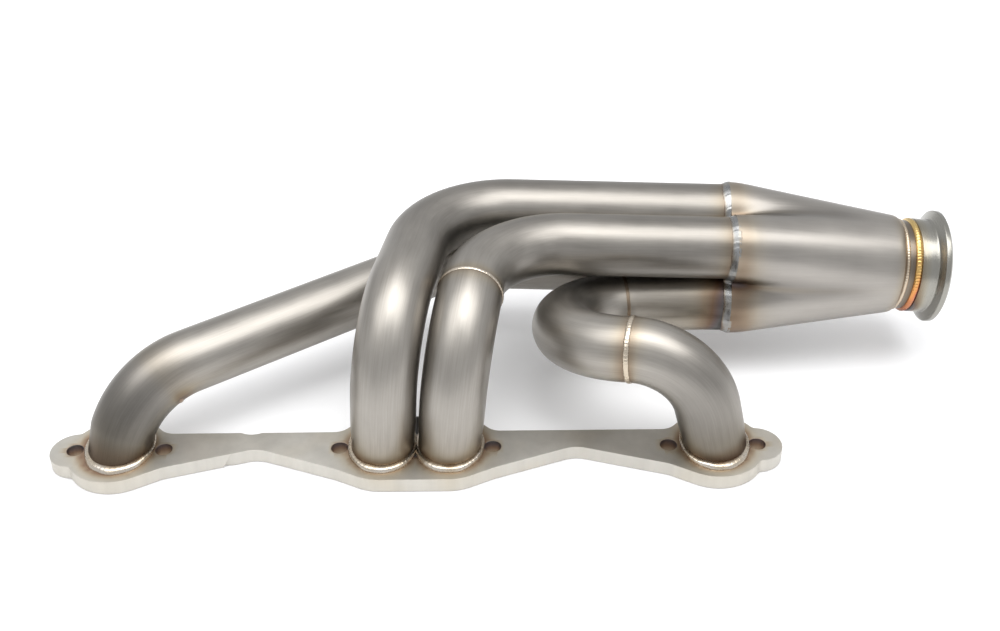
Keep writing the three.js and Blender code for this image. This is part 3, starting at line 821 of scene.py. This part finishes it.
def collector_skin():
    """The collector's wall, from four lobes to one round end with a turned-in lip."""
    turns, steps = 240, 76
    length = (OUTLET_M @ Vector((NECK_START, 0, 0)) - Vector(MERGE["at"])).length
    outer = []
    for k in range(steps + 1):
        share = k / steps
        eased = share * share / (2 * TAPER_EASE)
        taper = (eased if share < TAPER_EASE else share - TAPER_EASE / 2) / (1 - TAPER_EASE / 2)
        ridge = lerp(LOBE_AT + SOCKET_R, END_R, taper)
        distance = LOBE_AT * (1 - taper)
        lip = max(0.0, (share - LIP_FROM) / LIP_SPAN)
        shrink = (END_R - NECK_R - 0.5) * (1 - math.sqrt(max(0.0, 1 - lip * lip)))
        outer.append((share, distance, ridge - distance, shrink))
    rows = [(s, d, r, f, 0.0) for s, d, r, f in outer]
    rows += [(s, d, r, f, COLLECTOR_WALL) for s, d, r, f in reversed(outer)]
    points, grain, heat_and_shade, painted_shade = [], [], [], []
    for share, distance, radius, shrink, wall in rows:
        origin, turn = collector_frame(share)
        blur = lerp(2.6, 5.5, min(1, share * 1.6))
        for k in range(turns):
            angle = 2 * math.pi * k / turns
            reach = soft_lobed(angle, distance, radius, blur) - shrink - wall
            spot = Vector((0, reach * math.cos(angle), reach * math.sin(angle)))
            points.append(origin + turn @ spot)
            run = share * length
            grain.append((30 * math.cos(angle), 30 * math.sin(angle), run))
            off = off_lobe(angle) / (math.pi / 4)
            low = underside_at(angle)
            valley = smooth(0.70, 1.0, off)
            glow = math.exp(-((run - 4) / lerp(9, 17, low)) ** 2)
            value = glow * (0.20 + 0.34 * low + 0.34 * valley * (0.4 + 0.6 * low))
            crease = smooth(0.86, 1.0, off) * math.exp(-(run / lerp(45, 80, low)) ** 2)
            value += 0.16 * crease + 0.30 * math.exp(-((length - run) / 5) ** 2)
            heat_and_shade.append(min(1.0, max(0.0, value)))
            # Painted shade darkens the valleys between the lobes, fading out towards the outlet.
            valley_shade = smooth(lerp(0.35, 0.80, share), 1.0, off) * (1 - smooth(0.55, 0.92, share))
            painted_shade.append(lerp(1.0, 0.66, valley_shade))
    piece = make_piece("collector_skin", points, grid_faces(len(rows), turns, True), grain, heat_and_shade,
                       COLLECTOR_STEEL, ["collector_body"], painted_shade)
    sharpen(piece, 50)


collector_skin()


def collector_bead():
    """The heavy hand-run bead round the collector's inlet: uneven, and fuller in the valleys."""
    turns, rows = 720, 14
    points, grain, heat_and_shade = [], [], []
    for k in range(turns):
        angle = 2 * math.pi * k / turns
        off = off_lobe(angle) / (math.pi / 4)
        valley = smooth(0.62, 1.0, off)
        tube = soft_lobed(angle, LOBE_AT, TUBE_R, 1.2, BEAD_VALLEY_R)
        length = angle * 42
        blob = 0.5 + 0.5 * rough(length * 0.16, 3.1, 0.4)
        lump = 0.5 + 0.5 * rough(length * 0.42, 8.7, 1.3)
        shift = 0.9 * rough(length * 0.07, 1.7, 5.0)
        for row in range(rows):
            s = -1 + 2 * row / (rows - 2) if row < rows - 1 else 2.0
            if s > 1:
                x, lift = -1.2, -1.0
            else:
                crown = max(0.0, 1 - abs(s) ** 2.0)
                wave = ripple(length, s, 3.3, 4.0)
                half = 3.4 + 0.9 * blob + 0.6 * valley
                x = -1.3 + shift + s * half
                tall = 0.15 + 0.45 * blob + 0.40 * lump + 1.0 * valley
                lift = crown * tall * (0.8 + 0.3 * wave) + 1.5 * smooth(-0.9, 0.75, s) - 0.1
            reach = tube + lift
            spot = Vector((x, reach * math.cos(angle), reach * math.sin(angle)))
            points.append(MERGE_M @ spot)
            grain.append((spot.x, spot.y, spot.z))
            low = underside_at(angle)
            patchy = 0.5 + 0.5 * rough(length * 0.13, 6.0, 0.7 * s)
            heat_and_shade.append(max(0.0, 0.62 * abs(s) ** 3 + 0.55 * (patchy - 0.35) * (0.5 + 0.5 * low)))
    make_piece("collector_bead", points, grid_faces(turns, rows, True), grain, heat_and_shade,
               MERGE_BEAD_STEEL, ["collector_weld"])


collector_bead()


def merge_star():
    """The plate in the middle of the tube ends, with hollow sides that fit round the tubes."""
    outline = []
    for quarter in range(4):
        base = quarter * math.pi / 2
        middle = Vector((math.cos(base + math.pi / 4), math.sin(base + math.pi / 4))) * LOBE_AT
        for k in range(13):
            swing = base + math.pi / 4 + math.pi + math.radians(lerp(38, -38, k / 12))
            outline.append(middle + Vector((math.cos(swing), math.sin(swing))) * (TUBE_R + 0.1))
    points = [MERGE_M @ Vector((x, p.x, p.y)) for x in (INSERTION - 3, INSERTION) for p in outline]
    count = len(outline)
    faces = [tuple(range(count - 1, -1, -1)), tuple(range(count, 2 * count))]
    faces += [(k, (k + 1) % count, count + (k + 1) % count, count + k) for k in range(count)]
    grain = [(p.x, p.y, p.z) for p in points]
    piece = make_piece("merge_star", points, faces, grain, [0.3] * len(points), COLLECTOR_STEEL,
                       ["merge_plug"])
    sharpen(piece)


merge_star()


# ---------------------------------------------------------------- outlet
def turned(name, profile, steps, material, node_name, heat_at, wobble=None):
    """A turned piece on the outlet's axis, from a closed profile of (x, radius)."""
    points, grain, heat_and_shade = [], [], []
    for k in range(steps):
        turn = 2 * math.pi * k / steps
        for j, (x, radius) in enumerate(profile):
            dx, dr = wobble(turn, j) if wobble else (0, 0)
            spot = Vector((x + dx, (radius + dr) * math.cos(turn), (radius + dr) * math.sin(turn)))
            points.append(OUTLET_M @ spot)
            grain.append((x, radius, turn * radius))
            heat_and_shade.append(max(0.0, min(1.0, heat_at(x, turn))))
    return make_piece(name, points, grid_faces(steps, len(profile), True), grain, heat_and_shade, material,
                      [node_name])


def arc(cx, cr, radius, start, end, count=5):
    return [(cx + radius * math.cos(math.radians(lerp(start, end, k / count))),
             cr + radius * math.sin(math.radians(lerp(start, end, k / count))))
            for k in range(count + 1)]


def neck_heat(x, turn):
    low = underside_at(turn)
    weld = math.exp(-((x + 20.5) / 3.2) ** 2)
    return 0.12 + (0.25 + 0.3 * low) * weld


NECK_END = -20.6
neck = [(NECK_START - 1.5, NECK_R - NECK_WALL), (NECK_START - 1.5, NECK_R),
        (NECK_START + 1.0, NECK_R), (NECK_START + 3.0, NECK_R), (-22.0, NECK_R),
        (NECK_END, NECK_R), (NECK_END, NECK_R - NECK_WALL)]
sharpen(turned("outlet_neck_tube", neck, 180, NECK_STEEL, "outlet_neck",
               neck_heat))


BEAD_ROWS = 9


def bead_profile(middle, half, base, height):
    """A bead's section: a low crown, with a sunk point at each toe."""
    made = [(middle - half, base - 0.5)]
    for k in range(BEAD_ROWS):
        s = -1 + 2 * k / (BEAD_ROWS - 1)
        made.append((middle + s * half, base - 0.15 + height * max(0, 1 - abs(s) ** 2.3)))
    return made + [(middle + half, base - 0.5)]


def bead_wobble(radius, height, pitch, seed):
    """The ripples that the torch leaves along a turned bead."""
    def wobble(turn, j):
        if j in (0, BEAD_ROWS + 1):
            return 0, 0
        s = -1 + 2 * (j - 1) / (BEAD_ROWS - 1)
        length = turn * radius
        crest = ripple(length, s, pitch, seed)
        edge = 0.16 * rough(length * 0.25, seed, s)
        return edge, height * 0.30 * (1 - abs(s) ** 2) * (crest - 0.5)
    return wobble


turned("outlet_neck_bead", bead_profile(NECK_START + 0.7, 1.5, NECK_R, 1.0), 400, BEAD_STEEL,
       "outlet_neck_weld", lambda x, turn: 0.2, bead_wobble(31, 0.9, 1.9, 2.0))


def gold_heat(x, turn):
    """Straw gold on top, through orange and copper, to purple low on the outlet side."""
    drop = underside_at(turn + 0.25)
    patch = math.exp(-((drop - 0.68) / 0.14) ** 2) * smooth(-20.9, -18.9, x)
    return 0.10 + 0.50 * drop + 0.28 * patch + 0.10 * rough(turn * 5, x * 0.4, 2.0)


turned("vband_bead", bead_profile(-20.5, 2.35, NECK_R + 0.3, 1.35), 480, GOLD_BEAD,
       "vband_weld", gold_heat, bead_wobble(31.5, 1.35, 2.2, 7.0))

# The V-band flange's section: hub, taper and rim outside, then the face, chamfer and bore.
VBAND_CHAMFER, RIM_WIDTH = 1.4, 3.2
BORE_R = 28.8
rim_back = -VBAND_CHAMFER - RIM_WIDTH
hub = [(-20.4, BORE_R), (-20.4, NECK_R), (-18.6, NECK_R + 0.2),
       *arc(-17.6, 31.0, 1.0, 180, 90), (-12, 32.0), (-9.5, 32.0),
       *arc(rim_back - 2.6 - 1.2, 33.2, 1.2, -90, -25), *arc(rim_back + 0.3, 37.4, 0.7, 155, 90),
       (-3.2, 38.1), *arc(-2.0, 37.5, 0.6, 90, 35), *arc(-0.5, 35.5, 0.5, 35, 0),
       (0, 32.5), (0, 29.6), *arc(-0.6, 29.4, 0.6, 0, -90), (-6, BORE_R), (-13, BORE_R)]


def hub_heat(x, turn):
    low = underside_at(turn)
    patch = math.exp(-((turn - 3.75) / 0.35) ** 2) * smooth(-9, -16, x)
    return 0.34 * smooth(-12.5, -18.5, x) * (0.5 + low) + 0.35 * patch


sharpen(turned("vband_ring", hub, 240, VBAND_STEEL, "vband_flange", hub_heat), 30)


# ---------------------------------------------------------------- floor, light, camera
floor_material, floor_tree = new_material("pale_table")
floor_shader = floor_tree.nodes["Principled BSDF"]
floor_shader.inputs["Base Color"].default_value = (0.86, 0.86, 0.865, 1)
floor_shader.inputs["Roughness"].default_value = 0.6
floor_shader.inputs["Emission Color"].default_value = (1, 1, 1, 1)
floor_shader.inputs["Emission Strength"].default_value = 0.16
floor_mesh = bpy.data.meshes.new("table")
FLOOR_HALF = 8.0
FLOOR_DROP = 0.0004
floor_mesh.from_pydata([(x * FLOOR_HALF, y * FLOOR_HALF, 0)
                        for x, y in ((-1, -1), (1, -1), (1, 1), (-1, 1))], [], [(0, 1, 2, 3)])
floor_mesh.materials.append(floor_material)
floor = add_object("table", floor_mesh)
floor.location.z = -FLOOR_DROP

world = bpy.data.worlds.new("studio")
bpy.context.scene.world = world
world.use_nodes = True
world.node_tree.nodes["Background"].inputs["Color"].default_value = (0.97, 0.98, 1.0, 1)
world.node_tree.nodes["Background"].inputs["Strength"].default_value = 0.74
bpy.context.scene.view_settings.view_transform = "Standard"

AIM = Vector((0.06, 0.05, 0.05))


def softbox(name, azimuth, elevation, distance, width, height, power):
    """An area light that faces the object. Azimuth 0 is the camera's side, + to the right."""
    a, e = math.radians(azimuth), math.radians(elevation)
    back = Vector((math.sin(a) * math.cos(e), -math.cos(a) * math.cos(e), math.sin(e)))
    light = bpy.data.lights.new(name, "AREA")
    light.shape = "RECTANGLE"
    light.size, light.size_y = width, height
    light.energy = power
    holder = add_object(name, light)
    holder.location = AIM + back * distance
    holder.rotation_mode = "QUATERNION"
    holder.rotation_quaternion = back.to_track_quat("Z", "Y")


softbox("overhead", 180, 70, 1.6, 1.6, 0.7, 1.5)
softbox("key_left", -68, 69, 1.7, 1.2, 1.5, 14)
softbox("key_right", 62, 72, 1.7, 1.1, 1.4, 16)

# The camera: a long lens, level with the flange's length, looking down at it.
FOCAL = 1.3
SENSOR_WIDTH = 36
PITCH, YAW, ROLL = 34.95, 0.03, -0.52
CAMERA_AT = (0.05385, -0.63271, 0.55236)
camera_data = bpy.data.cameras.new("camera")
camera_data.sensor_width = SENSOR_WIDTH
camera_data.lens = SENSOR_WIDTH * FOCAL
camera = add_object("camera", camera_data)
pitch, yaw, roll = (math.radians(a) for a in (PITCH, YAW, ROLL))
ahead = Vector((math.sin(yaw) * math.cos(pitch), math.cos(yaw) * math.cos(pitch),
                -math.sin(pitch)))
right = Vector((math.cos(yaw), -math.sin(yaw), 0))
up = right.cross(ahead)
side = right * math.cos(roll) + up * math.sin(roll)
rise = up * math.cos(roll) - right * math.sin(roll)
camera.rotation_mode = "QUATERNION"
camera.rotation_quaternion = Matrix((side, rise, -ahead)).transposed().to_quaternion()
camera.location = CAMERA_AT
bpy.context.scene.camera = camera
